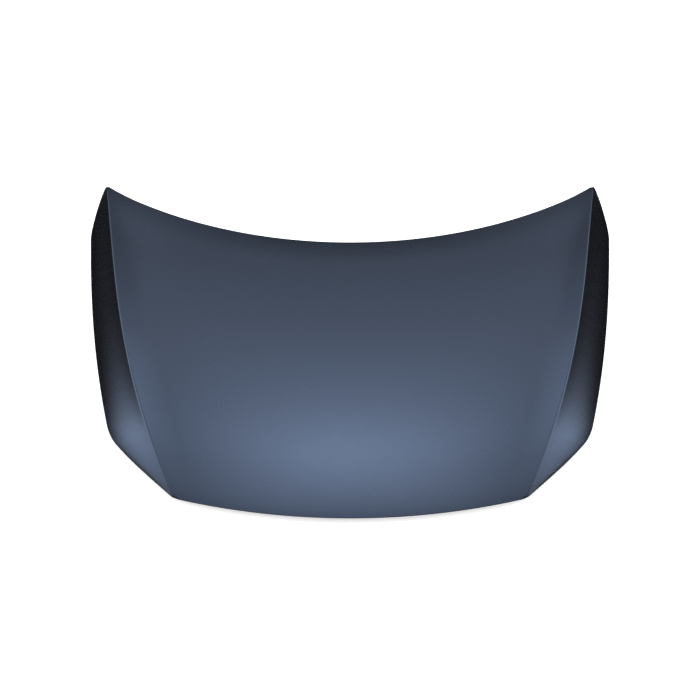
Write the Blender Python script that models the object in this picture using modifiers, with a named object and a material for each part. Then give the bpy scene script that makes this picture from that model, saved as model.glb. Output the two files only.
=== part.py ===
"""Car bonnet: pressed outer skin hemmed over a ribbed inner frame, with latch and hinge parts.

Metres. X is the width of the car, -Y its front, +Z up. The bonnet lies skin up on a floor at Z = 0,
on its two rear lower corners and the striker loop.
"""
import math

import bmesh
import bpy
from mathutils import Matrix, Vector
from mathutils.bvhtree import BVHTree
from mathutils.geometry import interpolate_bezier

# Plan of the top surface, measured from the middle of the front edge.
FRONT_HALF_WIDTH = 0.4501
FRONT_BOW = 0.0612
REAR_HALF_WIDTH = 0.6775
REAR_BOW = 0.2221
CENTRE_LENGTH = 0.7902
CREASE_PULL_FRONT = 0.606
CREASE_PULL_REAR = 0.6296

# Heights of the top surface.
FRONT_HEIGHT = 0.034
NOSE_RISE = 0.1427
NOSE_REACH = 0.2251
REAR_FALL = 0.02
CROWN_FRONT = 0.0046
CROWN_GROWTH = 0.0351
CREASE_RIDGE = 0.006
RIDGE_START = 0.85
RIDGE_REACH = 0.4

# Outer edge of the side flank: knots of its three curves and the points that pull on them,
# each as its share of the rear half width, its share of the whole length, and its height.
LAMP_KNOT = (0.8977, 0.2224, 0.0283)
LAMP_PULLS = ((0.7446, 0.1127, 0.0293), (0.8276, 0.1635, 0.0286))
FRONT_CORNER = (0.9243, 0.2437, 0.0280)
WING_FRONT_KNOT = (0.9371, 0.2780, 0.0270)
WING_PULLS = ((1.0133, 0.4874, 0.0231), (1.0533, 0.7018, 0.0052))
WING_REAR_KNOT = (1.0759, 0.9162, 0.0000)
REAR_CORNER = (1.0759, 0.9429, 0.0000)
BACK_KNOT = (1.0636, 0.9533, 0.0243)
BACK_PULLS = ((1.0461, 0.9703, 0.0595), (1.0275, 0.9810, 0.0981))
CORNER_PULL = 0.6
FLANK_BULGE = 0.035
HEM_UNDER_CORNER = 0.0013

# Share of the crease length at which each knot of the outer edge sits.
LAMP_SHARE = 0.15
WING_FRONT_SHARE = 0.20
WING_REAR_SHARE = 0.865
BACK_SHARE = 0.90

# Sheet and fits.
GAP = 0.0003
SKIN = 0.0008
FRAME = 0.0007
HEM_WIDTH = 0.011
HEM_TO_WALL = 0.0025
EDGE_ROOM = 0.0006
SHELL_LIMIT = 1.3

# Where a flank is narrow, its folds stay within these shares of its width.
HEM_SHARE = 0.50
WALL_FOOT_SHARE = 0.62
WALL_HEAD_SHARE = 0.80
FLANK_COLUMNS = 5

# Pressed shape of the inner frame, as depths under the outer face of the skin.
CHANNEL_DEPTH = 0.028
CHANNEL_WIDTH = 0.055
CHANNEL_WALL = 0.011
LAND_DEPTH = 0.004
SIDE_FLOOR = 0.90
SIDE_LAND = 0.875
FULL_DEPTH_FLANK = 0.055
FLANK_FALLS = (0.85, 0.62, 0.42)
FLANK_LEAN = 0.4

# Ribs: half width of the floor, width of the sloped wall, depth under the land.
RIB_HALF_FLOOR = 0.013
RIB_WALL = 0.012
RIB_LAND = 0.020
RIB_DEPTH = 0.019
VEE_FRONT_SHARES = (0.17, 0.138)
VEE_REAR_SHARES = (0.838, 0.893)
CROSS_RIB_SHARE = 0.60
CROSS_RIB_REACH_SHARE = 0.92
SPINE_RIB_REACH_SHARE = 0.94

# Openings between the ribs.
OPENING_RADIUS = 0.024
OPENING_SEGMENTS = 4
OPENING_LEAST_WIDTH = 0.006
REAR_EDGE_CHORDS = 3
CENTRE_OPENING_SHARE = 0.215
CUT_LOW = -0.05
CUT_HIGH = 0.25

# Flat seats pressed in the frame, sunk under the skin above their centres.
LATCH_SEAT_SETBACK = 0.070
LATCH_SEAT_SIZE = Vector((0.130, 0.052))
LATCH_SEAT_DEPTH = 0.0336
HINGE_SEAT_SHARES = (0.9045, 0.896)
HINGE_SEAT_SIZE = Vector((0.058, 0.074))
HINGE_SEAT_DEPTH = 0.0344
SEAT_WALL = 0.014

# Fasteners.
THREAD = 0.008
BOLT_ROOM = 0.0003
HINGE_HOLE_PITCH = 0.040
LATCH_HOLE_PITCH = 0.092
CLEAR_HOLE = 0.0096
NUT_ACROSS_FLATS = 0.013
NUT_HEIGHT = 0.0065
HEAD_HEIGHT = 0.0053
HEAD_FLANGE = 0.0175
HEAD_FLANGE_HEIGHT = 0.0015

# Plates and striker.
HINGE_PLATE_SIZE = Vector((0.050, 0.066))
HINGE_PLATE_THICKNESS = 0.0016
LATCH_PLATE_SIZE = Vector((0.122, 0.044))
LATCH_PLATE_THICKNESS = 0.0015
STRIKER_PLATE_SIZE = Vector((0.116, 0.034))
STRIKER_PLATE_THICKNESS = 0.003
LOOP_ROD = 0.009
LOOP_WIDTH = 0.036
LOOP_BEND = 0.013

# Mastic pads between skin and frame.
PAD_RADIUS = 0.008
PAD_SIDES = 12
PAD_GAP = 0.0004
PADS_BY_EDGE = {
    "middle_front": (0, 1, 2, 1),
    "middle_rear": (1, 1, 1, 1, 1, 0),
    "side_front": (1, 2, 1, 1),
    "side_rear": (0, 1, 0, 1),
}

# Resolution.
TOP_COLUMNS = 7
SIDE_COLUMNS = (0.0, 0.375, 0.75, 1.0)
NOSE_ROWS = 13
ROW_GROWTH = 1.3
CORNER_SEGMENTS = 5
HOLE_SIDES = 16
BOLT_SIDES = 24
LOOP_STEPS = 5
LOOP_ROUNDNESS = 3

FLANGE_WIDTH = HEM_WIDTH + HEM_TO_WALL
FLANGE_DEPTH = SKIN + GAP
HEM_HEIGHT = 2 * SKIN + FRAME + 2 * GAP
FRAME_EDGE = SKIN + EDGE_ROOM
LENGTH = CENTRE_LENGTH + REAR_BOW
SHIFT = Vector((0.0, -LENGTH / 2, HEM_UNDER_CORNER))
RIB_HALF_WIDTH = RIB_HALF_FLOOR + RIB_WALL + RIB_LAND
TOLERANCE = 0.00005


def clear_scene():
    for item in list(bpy.data.objects):
        bpy.data.objects.remove(item, do_unlink=True)


def make_collection(name):
    collection = bpy.data.collections.new(name)
    bpy.context.scene.collection.children.link(collection)
    return collection


def material(name, colour, roughness, metallic=0.0):
    made = bpy.data.materials.new(name)
    made.use_nodes = True
    shader = made.node_tree.nodes["Principled BSDF"]
    shader.inputs["Base Color"].default_value = (*colour, 1.0)
    shader.inputs["Roughness"].default_value = roughness
    shader.inputs["Metallic"].default_value = metallic
    made.diffuse_color = (*colour, 1.0)
    return made


def object_from(bm, name, collection, look=None):
    bmesh.ops.recalc_face_normals(bm, faces=bm.faces)
    if bm.calc_volume(signed=True) < 0:
        bmesh.ops.reverse_faces(bm, faces=bm.faces)
    mesh = bpy.data.meshes.new(name)
    bm.to_mesh(mesh)
    bm.free()
    made = bpy.data.objects.new(name, mesh)
    collection.objects.link(made)
    if look is not None:
        mesh.materials.append(look)
    return made


def clamp(value, low=0.0, high=1.0):
    return max(low, min(high, value))


def mix(a, b, share):
    return a + (b - a) * share


def arc_offset(half_width, bow, x):
    radius = (half_width ** 2 + bow ** 2) / (2 * bow)
    return radius - math.sqrt(radius ** 2 - x ** 2)


def front_y(x):
    return arc_offset(FRONT_HALF_WIDTH, FRONT_BOW, x)


def rear_y(x):
    return CENTRE_LENGTH + arc_offset(REAR_HALF_WIDTH, REAR_BOW, x)


def crease_x(v):
    pulls = (FRONT_HALF_WIDTH, CREASE_PULL_FRONT, CREASE_PULL_REAR, REAR_HALF_WIDTH)
    weights = ((1 - v) ** 3, 3 * v * (1 - v) ** 2, 3 * v * v * (1 - v), v ** 3)
    return sum(pull * weight for pull, weight in zip(pulls, weights))


def top_point(u, v):
    """Point of the top surface: u runs from the middle to the crease, v from front to rear."""
    x = u * crease_x(v)
    y = mix(front_y(x), rear_y(x), v)
    run = y - front_y(x)
    z = FRONT_HEIGHT + NOSE_RISE * (1 - math.exp(-run / NOSE_REACH)) - REAR_FALL * run ** 2
    z -= (CROWN_FRONT + CROWN_GROWTH * run) * u ** 2
    rise = clamp((u - RIDGE_START) / (1 - RIDGE_START))
    z += CREASE_RIDGE * rise ** 2 * clamp(run / RIDGE_REACH)
    return Vector((x, y, z))


def place_at(shares):
    return top_point(*shares).xy


def seat_height(centre, depth):
    """Height of a seat from the skin over its centre."""
    v = (centre.y - front_y(centre.x)) / (rear_y(centre.x) - front_y(centre.x))
    return top_point(centre.x / crease_x(v), v).z - depth


def corner_curve(start, corner, end):
    return (start, start.lerp(corner, CORNER_PULL), end.lerp(corner, CORNER_PULL), end)


def edge_knot(shares):
    across, along, height = shares
    return Vector((across * REAR_HALF_WIDTH, along * LENGTH, height))


def outer_edge_spans():
    """The five curves round the flank, each with the share of the crease where it starts and ends."""
    lamp = edge_knot(LAMP_KNOT)
    wing_front = edge_knot(WING_FRONT_KNOT)
    wing_rear = edge_knot(WING_REAR_KNOT)
    back = edge_knot(BACK_KNOT)
    return (
        (0.0, LAMP_SHARE, (top_point(1.0, 0.0), *map(edge_knot, LAMP_PULLS), lamp)),
        (LAMP_SHARE, WING_FRONT_SHARE, corner_curve(lamp, edge_knot(FRONT_CORNER), wing_front)),
        (WING_FRONT_SHARE, WING_REAR_SHARE, (wing_front, *map(edge_knot, WING_PULLS), wing_rear)),
        (WING_REAR_SHARE, BACK_SHARE, corner_curve(wing_rear, edge_knot(REAR_CORNER), back)),
        (BACK_SHARE, 1.0, (back, *map(edge_knot, BACK_PULLS), top_point(1.0, 1.0))),
    )


def outer_edge_point(v, spans):
    for start, end, pulls in spans:
        if v <= end:
            share = clamp((v - start) / (end - start))
            steps = 200
            points = interpolate_bezier(*pulls, steps + 1)
            index = min(int(share * steps), steps - 1)
            return points[index].lerp(points[index + 1], share * steps - index)
    return spans[-1][2][-1].copy()


def row_stations():
    """Shares of the length: hem flange, channel folds, then rows that widen towards the rear.

    Rows also stand at the corners of the flank's outer edge.
    """
    near = [0.0, FLANGE_WIDTH, FLANGE_WIDTH + CHANNEL_WALL]
    near.append(near[-1] + CHANNEL_WIDTH / 2)
    near.append(near[-1] + CHANNEL_WIDTH / 2)
    near.append(near[-1] + CHANNEL_WALL)
    front = [reach / CENTRE_LENGTH for reach in near]
    rear = [1 - share for share in reversed(front)]
    middle = [mix(front[-1], rear[0], (step / NOSE_ROWS) ** ROW_GROWTH) for step in range(1, NOSE_ROWS)]
    for knot in (LAMP_SHARE, WING_FRONT_SHARE):
        nearest = min(range(len(middle)), key=lambda index: abs(middle[index] - knot))
        middle[nearest] = knot
    return front + middle + [WING_REAR_SHARE] + rear


def column_stations():
    even = [SIDE_LAND * step / TOP_COLUMNS for step in range(TOP_COLUMNS + 1)]
    side = [mix(SIDE_FLOOR, 1.0, share) for share in SIDE_COLUMNS]
    return even + side


def inward(tangent, normal, towards):
    side = tangent.cross(normal).normalized()
    return side if side.dot(towards) > 0 else -side


def flank_row(v, spans, step=0.002):
    """Points of one flank row after the crease, and the direction into the flank at its outer edge."""
    crease = top_point(1.0, v)
    edge = outer_edge_point(v, spans)
    across = crease - edge
    width = across.length
    tangent = outer_edge_point(min(v + step, 1.0), spans) - outer_edge_point(max(v - step, 0.0), spans)
    run = top_point(1.0, min(v + step, 1.0)) - top_point(1.0, max(v - step, 0.0))
    if width < TOLERANCE:
        return [edge.copy() for _ in range(FLANK_COLUMNS)], -run.normalized(), width
    normal = run.cross(across).normalized()
    straight = inward(tangent.normalized(), normal, across)
    direction = across.normalized().lerp(straight, clamp(width / CHANNEL_DEPTH / 2)).normalized()
    wall_foot = edge + direction * min(FLANGE_WIDTH, WALL_FOOT_SHARE * width)
    wall_head = edge + direction * min(FLANGE_WIDTH + CHANNEL_WALL, WALL_HEAD_SHARE * width)
    outward = normal if normal.z > 0 else -normal
    points = []
    for share in (1 / 3, 2 / 3):
        bulge = outward * (FLANK_BULGE * width * 4 * share * (1 - share))
        points.append(crease.lerp(wall_head, share) + bulge)
    points += [wall_head, wall_foot, edge]
    return points, direction, width


def half_sheet():
    """Right half of the outer surface as a grid: top columns, then flank columns, by rows."""
    rows = row_stations()
    columns = column_stations()
    spans = outer_edge_spans()
    across = len(columns) + FLANK_COLUMNS
    bm = bmesh.new()
    bmesh.ops.create_grid(bm, x_segments=across - 1, y_segments=len(rows) - 1, size=0.5)
    bm.verts.ensure_lookup_table()
    column_layer = bm.verts.layers.int.new("column")
    row_layer = bm.verts.layers.int.new("row")
    for vert in bm.verts:
        vert[column_layer] = round((vert.co.x + 0.5) * (across - 1))
        vert[row_layer] = round((vert.co.y + 0.5) * (len(rows) - 1))
    flanks = [flank_row(v, spans) for v in rows]
    for vert in bm.verts:
        column = vert[column_layer]
        row = vert[row_layer]
        if column < len(columns):
            vert.co = top_point(columns[column], rows[row])
        else:
            vert.co = flanks[row][0][column - len(columns)]
    bmesh.ops.remove_doubles(bm, verts=bm.verts, dist=TOLERANCE)
    face_up(bm)
    return bm, rows, columns, flanks


def face_up(bm):
    bmesh.ops.recalc_face_normals(bm, faces=bm.faces)
    if sum(face.normal.z * face.calc_area() for face in bm.faces) < 0:
        bmesh.ops.reverse_faces(bm, faces=bm.faces)
    bm.normal_update()


def directions(bm):
    """Per vertex: the outward direction, scaled so that a step along it clears both faces equally."""
    found = {}
    for vert in bm.verts:
        direction = vert.normal * min(vert.calc_shell_factor(), SHELL_LIMIT)
        if abs(vert.co.x) < TOLERANCE:
            direction.x = 0.0
        found[vert.index] = direction
    return found


def edge_direction(vert, on_flank, row, flanks):
    """Direction from a border vertex into the sheet."""
    if on_flank:
        return flanks[row][1]
    if abs(vert.co.x) < TOLERANCE:
        along = Vector((1.0, 0.0, 0.0))
    else:
        ends = [edge.other_vert(vert).co for edge in vert.link_edges if edge.is_boundary]
        along = (ends[0] - ends[1]).normalized()
    into = Vector((0.0, 1.0, 0.0)) if row == 0 else Vector((0.0, -1.0, 0.0))
    return inward(along, vert.normal, into)


def mirror_and_thicken(target, thickness):
    mirror = target.modifiers.new("Mirror", "MIRROR")
    mirror.use_axis = (True, False, False)
    mirror.use_clip = True
    mirror.use_mirror_merge = True
    mirror.merge_threshold = TOLERANCE
    solid = target.modifiers.new("Thickness", "SOLIDIFY")
    solid.thickness = thickness
    solid.offset = -1.0
    solid.use_even_offset = True
    solid.use_quality_normals = True


def border_lists(bm, columns, rows):
    """Border vertices of the half sheet in order: front edge, flank edge, rear edge."""
    column_layer = bm.verts.layers.int["column"]
    row_layer = bm.verts.layers.int["row"]
    last_column = len(columns) + FLANK_COLUMNS - 1
    last_row = len(rows) - 1
    by_place = {(vert[column_layer], vert[row_layer]): vert for vert in bm.verts}
    front = [by_place[(column, 0)] for column in range(len(columns) - 1)]
    rear = [by_place[(column, last_row)] for column in range(len(columns) - 1)]
    flank = [by_place[(last_column, row)] for row in range(1, last_row)]
    return front, flank, rear


def outer_skin(collection, look):
    """Outer panel with its edge folded down and back under, as the hem that grips the frame."""
    bm, rows, columns, flanks = half_sheet()
    row_layer = bm.verts.layers.int["row"]
    outward = directions(bm)
    borders = border_lists(bm, columns, rows)
    for line in borders:
        folded = []
        returned = []
        for vert in line:
            on_flank = line is borders[1]
            into = edge_direction(vert, on_flank, vert[row_layer], flanks)
            width = HEM_WIDTH
            if on_flank:
                width = min(HEM_WIDTH, HEM_SHARE * flanks[vert[row_layer]][2])
            down = vert.co - outward[vert.index] * HEM_HEIGHT
            folded.append(bm.verts.new(down))
            returned.append(bm.verts.new(down + into * width))
        for index in range(len(line) - 1):
            strip = ((line, folded), (folded, returned))
            for near, far in strip:
                bm.faces.new((near[index], near[index + 1], far[index + 1], far[index]))
    bmesh.ops.translate(bm, verts=bm.verts, vec=SHIFT)
    face_up(bm)
    skin = bpy.data.objects.new("outer_skin", bpy.data.meshes.new("outer_skin"))
    bm.to_mesh(skin.data)
    bm.free()
    skin.data.materials.append(look)
    collection.objects.link(skin)
    mirror_and_thicken(skin, SKIN)
    return skin


def channel_profile(reach):
    """Depth of the front and rear channels at a distance from the edge."""
    wall_end = FLANGE_WIDTH + CHANNEL_WALL
    floor_end = wall_end + CHANNEL_WIDTH
    land_start = floor_end + CHANNEL_WALL
    if reach <= FLANGE_WIDTH + TOLERANCE:
        return FLANGE_DEPTH
    if reach < wall_end:
        return mix(FLANGE_DEPTH, CHANNEL_DEPTH, (reach - FLANGE_WIDTH) / CHANNEL_WALL)
    if reach <= floor_end + TOLERANCE:
        return CHANNEL_DEPTH
    if reach < land_start:
        return mix(CHANNEL_DEPTH, LAND_DEPTH, (reach - floor_end) / CHANNEL_WALL)
    return LAND_DEPTH


def side_profile(u, limit):
    if u <= SIDE_LAND + TOLERANCE:
        return LAND_DEPTH
    floor_end = mix(SIDE_FLOOR, 1.0, SIDE_COLUMNS[1])
    if u <= floor_end + TOLERANCE:
        return mix(LAND_DEPTH, CHANNEL_DEPTH, clamp((u - SIDE_LAND) / (SIDE_FLOOR - SIDE_LAND)))
    return mix(CHANNEL_DEPTH, limit, (u - floor_end) / (1 - floor_end))


def sink_perimeter(bm, rows, columns, flanks):
    """Move the sheet inward: hem flange, channel all round, then the land under the skin."""
    column_layer = bm.verts.layers.int["column"]
    row_layer = bm.verts.layers.int["row"]
    outward = directions(bm)
    crease_column = len(columns) - 1
    crease_way = {}
    border_way = {}
    borders = border_lists(bm, columns, rows)
    for line in borders:
        for vert in line:
            border_way[vert.index] = edge_direction(vert, line is borders[1], vert[row_layer], flanks)
    for vert in bm.verts:
        if vert[column_layer] == crease_column:
            crease_way[vert[row_layer]] = outward[vert.index].copy()
    moves = {}
    for vert in bm.verts:
        column = vert[column_layer]
        row = vert[row_layer]
        share = clamp(flanks[row][2] / FULL_DEPTH_FLANK)
        limit = mix(FLANGE_DEPTH, CHANNEL_DEPTH, share)
        way = outward[vert.index]
        if column <= crease_column:
            reach = min(rows[row], 1 - rows[row]) * CENTRE_LENGTH
            depth = channel_profile(reach)
            if depth > FLANGE_DEPTH:
                depth = max(depth, side_profile(columns[column], limit))
                if column == crease_column:
                    depth = limit
            lean = clamp((columns[column] - SIDE_FLOOR) / (1 - SIDE_FLOOR))
            if depth > FLANGE_DEPTH and 0 < lean < 1:
                way = way.lerp(crease_way[row], lean)
        else:
            place = column - crease_column
            depth = FLANGE_DEPTH
            if place <= len(FLANK_FALLS):
                depth = mix(FLANGE_DEPTH, limit, FLANK_FALLS[place - 1])
            if place == 1 and row in crease_way:
                way = way.lerp(crease_way[row], FLANK_LEAN)
        moves[vert.index] = -way * depth + border_way.get(vert.index, Vector()) * FRAME_EDGE
    for vert in bm.verts:
        vert.co += moves[vert.index]
        if abs(vert.co.x) < TOLERANCE:
            vert.co.x = 0.0


def trim_tips(bm, rows, columns):
    """Take the frame out of the sharp front and rear tips, where the hem is notched."""
    column_layer = bm.verts.layers.int["column"]
    row_layer = bm.verts.layers.int["row"]
    crease_column = len(columns) - 1
    ends = (0, len(rows) - 1)
    waste = []
    for face in bm.faces:
        at_tip = any(vert[row_layer] in ends and vert[column_layer] >= crease_column for vert in face.verts)
        if at_tip:
            waste.append(face)
    bmesh.ops.delete(bm, geom=waste, context="FACES")


def local_place(place, origin, along):
    offset = place - origin
    return Vector((offset.dot(along), offset.y * along.x - offset.x * along.y))


def touches(face, origin, along, low, high):
    """Whether the plan of a face overlaps a box drawn in the axes of a fold."""
    places = [local_place(vert.co.xy, origin, along) for vert in face.verts]
    spans = [(min(place[axis] for place in places), max(place[axis] for place in places)) for axis in (0, 1)]
    return all(span[0] < high[axis] and span[1] > low[axis] for axis, span in enumerate(spans))


def score(bm, point, direction, box):
    """Cut a fold line through the faces that touch a box, leaving the hem flange whole."""
    inner = bm.verts.layers.int["inner"]
    geom = set()
    for face in bm.faces:
        if all(vert[inner] for vert in face.verts) and touches(face, *box):
            geom.add(face)
            geom.update(face.edges)
            geom.update(face.verts)
    across = Vector((-direction.y, direction.x, 0.0)).normalized()
    bmesh.ops.bisect_plane(bm, geom=list(geom), plane_co=(point.x, point.y, 0.0), plane_no=across,
                           dist=TOLERANCE * 4)


def press_rib(bm, start, end):
    """Score the folds of a straight rib and press its floor below the land."""
    length = (end - start).length
    along = (end - start) / length
    side = Vector((-along.y, along.x))
    band = RIB_HALF_FLOOR + RIB_WALL
    box = (start, along, (-band, -band), (length + band, band))
    for width in (RIB_HALF_FLOOR, band):
        for sign in (-1, 1):
            score(bm, start + side * width * sign, along, box)
    inner = bm.verts.layers.int["inner"]
    sunk = bm.verts.layers.float["sunk"]
    for vert in bm.verts:
        if vert[inner]:
            run, lateral = local_place(vert.co.xy, start, along)
            past = max(-run, run - length, 0.0)
            spread = max(abs(lateral) - RIB_HALF_FLOOR, past, 0.0)
            drop = RIB_DEPTH * clamp(1 - spread / RIB_WALL)
            if drop > vert[sunk]:
                vert.co.z -= drop - vert[sunk]
                vert[sunk] = drop


def press_seat(bm, centre, size, height):
    """Score and press a flat rectangular seat that blends into the sheet round it."""
    half = size / 2
    reach = half + Vector((SEAT_WALL, SEAT_WALL))
    box = (centre, Vector((1.0, 0.0)), -reach, reach)
    for edge in (half, reach):
        for sign in (-1, 1):
            score(bm, centre + Vector((sign * edge.x, 0.0)), Vector((0.0, 1.0)), box)
            score(bm, centre + Vector((0.0, sign * edge.y)), Vector((1.0, 0.0)), box)
    inner = bm.verts.layers.int["inner"]
    for vert in bm.verts:
        if vert[inner]:
            offset = vert.co.xy - centre
            outside = max(abs(offset.x) - half.x, abs(offset.y) - half.y, 0.0)
            vert.co.z = mix(height, vert.co.z, clamp(outside / SEAT_WALL))


def mark_inner(bm, rows, columns):
    """Mark the vertices that may be pressed and prepare the record of how far each was pressed."""
    column_layer = bm.verts.layers.int["column"]
    row_layer = bm.verts.layers.int["row"]
    inner = bm.verts.layers.int.new("inner")
    sunk = bm.verts.layers.float.new("sunk")
    for vert in bm.verts:
        column = vert[column_layer]
        row = vert[row_layer]
        vert[inner] = 1 if 2 <= row <= len(rows) - 3 and column <= len(columns) - 2 else 0
        if vert[inner]:
            reach = min(rows[row], 1 - rows[row]) * CENTRE_LENGTH
            depth = max(channel_profile(reach), side_profile(columns[column], CHANNEL_DEPTH))
            vert[sunk] = depth - LAND_DEPTH


def vee_ends():
    return place_at(VEE_FRONT_SHARES), place_at(VEE_REAR_SHARES)


def cross_rib_y():
    return CROSS_RIB_SHARE * CENTRE_LENGTH


def latch_centre():
    return Vector((0.0, LATCH_SEAT_SETBACK))


def hinge_centre(sign=1):
    centre = place_at(HINGE_SEAT_SHARES)
    return Vector((sign * centre.x, centre.y))


def latch_height():
    return seat_height(latch_centre(), LATCH_SEAT_DEPTH)


def hinge_height():
    return seat_height(hinge_centre(), HINGE_SEAT_DEPTH)


def frame_sheet():
    """Half of the inner pressing before it is thickened."""
    bm, rows, columns, flanks = half_sheet()
    sink_perimeter(bm, rows, columns, flanks)
    trim_tips(bm, rows, columns)
    mark_inner(bm, rows, columns)
    crossing = Vector((0.0, cross_rib_y()))
    press_rib(bm, *vee_ends())
    press_rib(bm, crossing, Vector((CROSS_RIB_REACH_SHARE * crease_x(CROSS_RIB_SHARE), crossing.y)))
    press_rib(bm, crossing, Vector((0.0, SPINE_RIB_REACH_SHARE * CENTRE_LENGTH)))
    press_seat(bm, latch_centre(), LATCH_SEAT_SIZE, latch_height())
    press_seat(bm, hinge_centre(), HINGE_SEAT_SIZE, hinge_height())
    bmesh.ops.triangulate(bm, faces=bm.faces)
    bmesh.ops.translate(bm, verts=bm.verts, vec=SHIFT)
    face_up(bm)
    return bm


def rib_side_x(y, sign):
    """Edge of the land beside the diagonal rib: -1 for its inner side, 1 for its outer side."""
    front, rear = vee_ends()
    along = (rear - front).normalized()
    return front.x + (y - front.y) * along.x / along.y + sign * RIB_HALF_WIDTH / along.y


def end_limit(x, at_rear):
    """Where the land beside the front or rear channel stops."""
    land = FLANGE_WIDTH + 2 * CHANNEL_WALL + CHANNEL_WIDTH + RIB_LAND
    share = land / CENTRE_LENGTH
    return mix(front_y(x), rear_y(x), 1 - share if at_rear else share)


def settled(step, start, rounds=60):
    """Value that a step leaves unchanged, found by going half way to it again and again."""
    value = start
    for _ in range(rounds):
        value = (value + step(value)) / 2
    return value


def side_limit(y):
    """Where the land beside the side channel stops."""
    def step(x):
        v = (y - front_y(x)) / (rear_y(x) - front_y(x))
        return SIDE_LAND * crease_x(v) - RIB_LAND

    return settled(step, FRONT_HALF_WIDTH)


def opening_outlines():
    """Plan outlines of the openings: the one across the middle, then those of the right half."""
    ahead = cross_rib_y() - RIB_HALF_WIDTH
    behind = cross_rib_y() + RIB_HALF_WIDTH
    nose = CENTRE_OPENING_SHARE * CENTRE_LENGTH
    middle_front = [(-rib_side_x(nose, -1), nose), (rib_side_x(nose, -1), nose),
                    (rib_side_x(ahead, -1), ahead), (-rib_side_x(ahead, -1), ahead)]
    far = settled(lambda x: rib_side_x(end_limit(x, True), -1), crease_x(CROSS_RIB_SHARE) / 2)
    middle_rear = [(RIB_HALF_WIDTH, behind), (rib_side_x(behind, -1), behind)]
    for step in range(REAR_EDGE_CHORDS + 1):
        x = mix(far, RIB_HALF_WIDTH, step / REAR_EDGE_CHORDS)
        middle_rear.append((x, end_limit(x, True)))
    inner = settled(lambda x: rib_side_x(end_limit(x, False), 1), FRONT_HALF_WIDTH / 2)
    outer = settled(lambda x: side_limit(end_limit(x, False)), FRONT_HALF_WIDTH)
    side_front = [(inner, end_limit(inner, False)), (outer, end_limit(outer, False)),
                  (side_limit(ahead), ahead), (rib_side_x(ahead, 1), ahead)]
    room = hinge_centre().y - HINGE_SEAT_SIZE.y / 2 - SEAT_WALL - RIB_LAND
    narrow = settled(lambda y: y + side_limit(y) - rib_side_x(y, 1) - OPENING_LEAST_WIDTH, behind)
    stop = min(room, narrow)
    side_rear = [(rib_side_x(behind, 1), behind), (side_limit(behind), behind),
                 (side_limit(stop), stop), (rib_side_x(stop, 1), stop)]
    halves = {"middle_rear": middle_rear, "side_front": side_front, "side_rear": side_rear}
    return {"middle_front": middle_front}, halves


def rounded(outline, radius, segments):
    """Plan outline with every corner replaced by a curve of about the given radius."""
    points = []
    count = len(outline)
    for index in range(count):
        corner = Vector((*outline[index], 0.0))
        before = Vector((*outline[index - 1], 0.0)) - corner
        after = Vector((*outline[(index + 1) % count], 0.0)) - corner
        half_angle = before.angle(after) / 2
        reach = min(radius / math.tan(half_angle), before.length / 2.5, after.length / 2.5)
        start = corner + before.normalized() * reach
        end = corner + after.normalized() * reach
        points += interpolate_bezier(*corner_curve(start, corner, end), segments + 1)
    return points


def prism(bm, outline, low, high, radius, segments):
    """Upright prism over a plan outline with its upright edges rounded."""
    verts = [bm.verts.new((point.x, point.y, low)) for point in rounded(outline, radius, segments)]
    sweep = bmesh.ops.extrude_face_region(bm, geom=[bm.faces.new(verts)])
    raised = [item for item in sweep["geom"] if isinstance(item, bmesh.types.BMVert)]
    bmesh.ops.translate(bm, verts=raised, vec=(0.0, 0.0, high - low))


def make_cutter(bm, name, cutters):
    bmesh.ops.translate(bm, verts=bm.verts, vec=SHIFT)
    made = object_from(bm, name, cutters)
    made.hide_render = True
    made.display_type = "WIRE"
    return made


def opening_cutter(cutters):
    bm = bmesh.new()
    middle, halves = opening_outlines()
    outlines = list(middle.values())
    for outline in halves.values():
        outlines.append(outline)
        outlines.append([(-x, y) for x, y in reversed(outline)])
    for outline in outlines:
        prism(bm, outline, CUT_LOW, CUT_HIGH, OPENING_RADIUS, OPENING_SEGMENTS)
    return make_cutter(bm, "openings_cutter", cutters)


def hinge_hole_places(sign):
    centre = hinge_centre(sign)
    return [Vector((centre.x, centre.y + end * HINGE_HOLE_PITCH / 2)) for end in (-1, 1)]


def latch_hole_places():
    centre = latch_centre()
    return [Vector((end * LATCH_HOLE_PITCH / 2, centre.y)) for end in (-1, 1)]


def upright_cylinder(bm, place, low, high, diameter, sides):
    matrix = Matrix.Translation((place.x, place.y, (low + high) / 2))
    bmesh.ops.create_cone(bm, cap_ends=True, segments=sides, radius1=diameter / 2,
                          radius2=diameter / 2, depth=high - low, matrix=matrix)


def hole_cutter(name, places, diameter, cutters):
    bm = bmesh.new()
    for place in places:
        upright_cylinder(bm, place, CUT_LOW, CUT_HIGH, diameter, HOLE_SIDES)
    return make_cutter(bm, name, cutters)


def cut(target, cutter, name):
    boolean = target.modifiers.new(name, "BOOLEAN")
    boolean.operation = "DIFFERENCE"
    boolean.solver = "EXACT"
    boolean.object = cutter


def inner_frame(collection, cutters, seat_holes, look):
    """Ribbed inner pressing: half sheet mirrored, thickened, then pierced."""
    bm = frame_sheet()
    frame = bpy.data.objects.new("inner_frame", bpy.data.meshes.new("inner_frame"))
    bm.to_mesh(frame.data)
    bm.free()
    frame.data.materials.append(look)
    collection.objects.link(frame)
    mirror_and_thicken(frame, FRAME)
    cut(frame, opening_cutter(cutters), "Openings")
    cut(frame, seat_holes, "Seat holes")
    return frame


def put(made, place, height):
    made.location = Vector((place.x, place.y, height)) + SHIFT


def plate(name, centre, size, low, thickness, radius, holes, collection, look):
    """Flat rounded plate with clearance holes."""
    half = size / 2
    outline = ((-half.x, -half.y), (half.x, -half.y), (half.x, half.y), (-half.x, half.y))
    bm = bmesh.new()
    prism(bm, outline, 0.0, thickness, radius, CORNER_SEGMENTS)
    made = object_from(bm, name, collection, look)
    put(made, centre, low)
    cut(made, holes, "Holes")
    return made


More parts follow.
